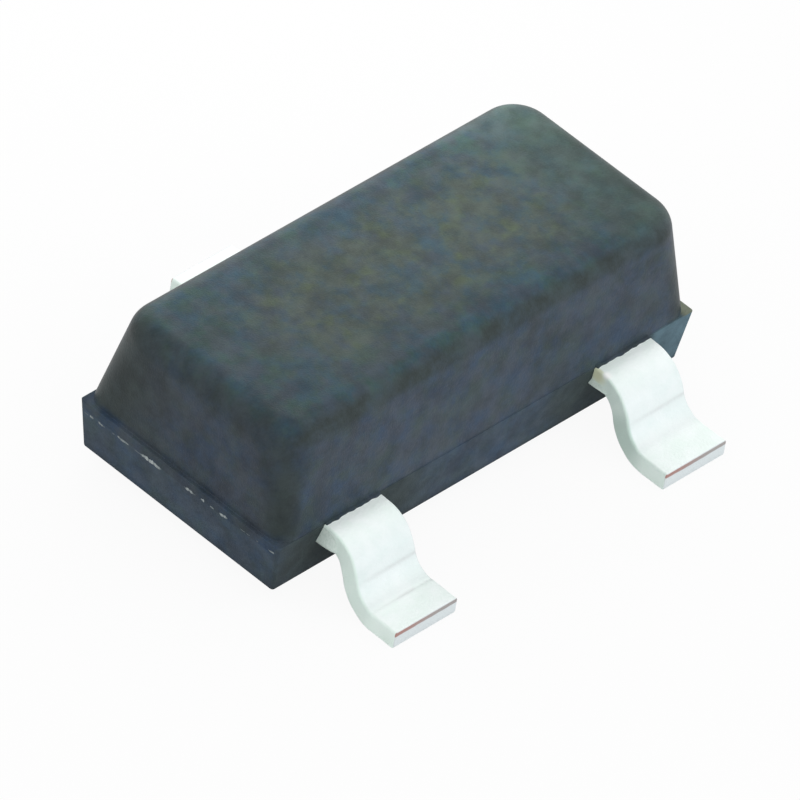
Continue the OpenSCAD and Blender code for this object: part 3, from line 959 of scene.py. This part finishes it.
def bare_copper(tree, speckle, z, to_tip):
    """The line of bare copper across the tip. Clouds move its lower rim up and down."""
    level = math(tree, "MULTIPLY_ADD", speckle.outputs["Clouds"], COPPER_WAVER, z)
    level = math(tree, "SUBTRACT", level, COPPER_WAVER / 2)
    return times(
        tree, ramp(tree, level, *COPPER_LEVELS[:2]), ramp(tree, z, *COPPER_LEVELS[:1:-1]),
        ramp(tree, to_tip, 0.007, 0.004), 0.85)


def tin_finish():
    """Matte tin, painted a little greyer over the bend and the leg as shade. The strip's left side
    has its own tints: painted shade, greener and darker down the leg, more painted shade on the
    source lead, the stain and a painted glint."""
    material, tree, shader, place = new_material("matte tin", roughness=0.5, metallic=0.15)
    speckle = add_grain(tree, place, 70.0, 9.0)
    parts = node(tree, "ShaderNodeSeparateXYZ", {"Vector": place})
    x, y, z = (parts.outputs[axis] for axis in "XYZ")
    along, sideways, mark = (stored(tree, name) for name in ("along", "sideways", "mark"))
    to_tip = math(tree, "SUBTRACT", tip_y, math(tree, "ABSOLUTE", y))
    cloudy = ramp(tree, speckle.outputs["Clouds"], 0.3, 0.7)
    # Painted shade: greyer over the bend and the leg.
    painted_leg_shade = times(tree, ramp(tree, along, 0.02, 0.15), ramp(tree, along, 0.52, 0.42))
    flat = mix(tree, cloudy, TIN["flat"], TIN["flat pale"])
    bent = mix(tree, cloudy, TIN["painted_leg_shade"], TIN["painted_leg_shade pale"])
    tin = mix(tree, painted_leg_shade, flat, bent)
    # Painted shade on the left side of the strip, greener and darker down the leg.
    painted_side_shade = mix(tree, ramp(tree, along, 0.25, 0.60), TIN["painted_side_shade high"], TIN["painted_side_shade low"])
    tin = mix(tree, ramp(tree, sideways, -0.93, -0.99, 0.0, 0.42), tin, painted_side_shade)
    layers = {
        # Painted shade on the source lead's left side, over the bend and the leg.
        "dull": times(
            tree, ramp(tree, sideways, -0.90, -0.97), ramp(tree, x, 0.4, 0.6),
            ramp(tree, along, 0.14, 0.28), ramp(tree, along, 0.52, 0.36)),
        "stain": times(
            tree, near(tree, place, STAIN_PLACE, STAIN_RADIUS), ramp(tree, sideways, -0.90, -0.96)),
        # A painted glint on the source lead's edge.
        "painted_glint": near(tree, place, GLINT_PLACE, GLINT_RADIUS),
        "marked": times(tree, mark, ramp(tree, speckle.outputs["Clouds"], 0.3, 0.65, 0.1, 0.7)),
        "tip": ramp(tree, to_tip, 0.007, 0.003),
    }
    for name, weight in layers.items():
        tin = mix(tree, weight, tin, TIN[name])
    copper = mix(tree, ramp(tree, sideways, -0.9, 0.5), TIN["copper"], TIN["copper dull"])
    colour = mix(tree, bare_copper(tree, speckle, z, to_tip), tin, copper)
    tree.links.new(colour, shader.inputs["Base Color"])
    add_bump(tree, shader, speckle.outputs["Height"], 0.002)
    return material


# %% Finishes of the small and hidden pieces
def plain_finish(name, low, high, roughness, metallic, grain_scale):
    """A finish of two close colours in a fine grain, for a burr or a piece that the epoxy hides."""
    material, tree, shader, place = new_material(name, roughness, metallic)
    speckle = add_grain(tree, place, grain_scale, 6.0)
    colour = mix(tree, ramp(tree, speckle.outputs["Grain"], 0.3, 0.7), low, high)
    tree.links.new(colour, shader.inputs["Base Color"])
    add_bump(tree, shader, speckle.outputs["Height"], 0.001)
    return material


torn_resin = thread_finish()
# The burr's tin is painted greyer than the lead's top, as shade.
painted_shade_burr_tin = plain_finish("burr tin, painted shade", srgb(194, 210, 202), srgb(210, 222, 216), 0.6, 0.15, 90.0)
finishes = {
    "epoxy": epoxy_finish(),
    "tinned_lead": tin_finish(),
    "die_attach": plain_finish("silver adhesive", srgb(150, 149, 145), srgb(178, 177, 172), 0.55, 0.4, 120.0),
    "silicon": plain_finish("sawn silicon", srgb(82, 86, 98), srgb(96, 100, 112), 0.25, 0.3, 40.0),
    "bond_wire": plain_finish("drawn copper", srgb(196, 130, 98), srgb(212, 148, 114), 0.3, 0.9, 150.0),
}
print("finishes:", list(finishes))


# %% Dress the pieces
def dress(piece, finish):
    """Give a piece one finish as its only material."""
    piece.data.materials.clear()
    piece.data.materials.append(finish)


slots = {row["node"]: row["material_slot"] for row in frame["record"]["subparts"]}
for name, solid in nodes.items():
    dress(solid, finishes[slots[name]])
skins = {"moulded_body": body_skin, **lead_skins}
for name, skin in skins.items():
    dress(skin, finishes[slots[name]])
    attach(skin, "root")
    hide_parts(name)
traces = (
    (collars, finishes["epoxy"], "epoxy"), (threads, torn_resin, "epoxy"),
    (burrs, painted_shade_burr_tin, "tinned_lead"))
for pieces, finish, slot in traces:
    for piece in pieces:
        dress(piece, finish)
        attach(piece, "root")
print("dressed", len(nodes), "solids,", len(skins), "skins and", sum(len(t[0]) for t in traces), "traces")

# %% [markdown]
# ## Floor and light
#
# The floor is a plain white sheet. To the camera and in reflections most of it is an
# even white, as in a product picture, while the rest of it still takes the shadow. Most
# of the light comes from an even white world. One small lamp near the back brightens the
# far end of the top, and three broad softboxes at the front and the right keep the leads
# white. Each is given by how bright its face is, so that a colour renders about as it is
# written.

# %% Floor
FLOOR_HALF = 300.0         # mm
WHITE_SHARE = 0.93         # how much of the floor is even white to the camera


def floor_finish():
    """A white sheet: diffuse for light and shadow, mostly even white to the camera."""
    material = bpy.data.materials.new("white floor")
    material.use_nodes = True
    tree = material.node_tree
    tree.nodes.remove(tree.nodes["Principled BSDF"])
    sheet = node(tree, "ShaderNodeBsdfDiffuse", Color=(0.7, 0.7, 0.7, 1.0))
    glow = node(tree, "ShaderNodeEmission", Color=(1.0, 1.0, 1.0, 1.0), Strength=1.0)
    rays = tree.nodes.new("ShaderNodeLightPath")
    seen = math(tree, "MAXIMUM", rays.outputs["Is Camera Ray"], rays.outputs["Is Glossy Ray"])
    seen = math(tree, "MAXIMUM", seen, rays.outputs["Is Transmission Ray"])
    share = math(tree, "MULTIPLY", seen, WHITE_SHARE)
    both = node(tree, "ShaderNodeMixShader", {0: share, 1: sheet.outputs[0], 2: glow.outputs[0]})
    tree.links.new(both.outputs[0], tree.nodes["Material Output"].inputs["Surface"])
    return material


corners = np.array([[-1, -1, 0], [1, -1, 0], [1, 1, 0], [-1, 1, 0]]) * FLOOR_HALF * MM
floor_mesh = bpy.data.meshes.new("floor")
floor_mesh.from_pydata(corners.tolist(), [], [(0, 1, 2, 3)])
floor_mesh.materials.append(floor_finish())
floor = bpy.data.objects.new("floor", floor_mesh)
bpy.context.scene.collection.objects.link(floor)

# %% World and softboxes
AMBIENT = 1.06
WHITE, COOL = (1.0, 1.0, 1.0), (0.87, 1.0, 1.13)
SOFTBOXES = {
    # name: azimuth and elevation in degrees, distance and size in mm, brightness of its face, colour
    "back_lamp": (150, 35, 3.8, (4.0, 3.0), 0.80, WHITE),
    "high_fill": (45, 45, 60.0, (40.0, 32.0), 0.75, WHITE),
    "front_strip": (0, 10, 60.0, (60.0, 18.0), 0.95, COOL),
    "side_strip": (45, 10, 60.0, (60.0, 18.0), 0.75, COOL),
}

world = bpy.data.worlds.new("studio")
world.use_nodes = True
world.node_tree.nodes["Background"].inputs["Color"].default_value = (1.0, 1.0, 1.0, 1.0)
world.node_tree.nodes["Background"].inputs["Strength"].default_value = AMBIENT
bpy.context.scene.world = world


def add_softbox(name, azimuth, elevation, distance, size, brightness, colour):
    """A rectangular lamp facing the part. Its power is brightness times pi times area."""
    lamp = bpy.data.lights.new(name, "AREA")
    lamp.shape = "RECTANGLE"
    lamp.size, lamp.size_y = (side * MM for side in size)
    lamp.energy = brightness * np.pi * lamp.size * lamp.size_y
    lamp.color = colour
    right, up, back = camera_axes(azimuth, elevation, 0.0)
    holder = bpy.data.objects.new(name, lamp)
    holder.matrix_world = placed(back * distance, right, up, back)
    bpy.context.scene.collection.objects.link(holder)
    return lamp.energy


for name, values in SOFTBOXES.items():
    print(f"softbox {name}: {1000 * add_softbox(name, *values):.2f} mW")
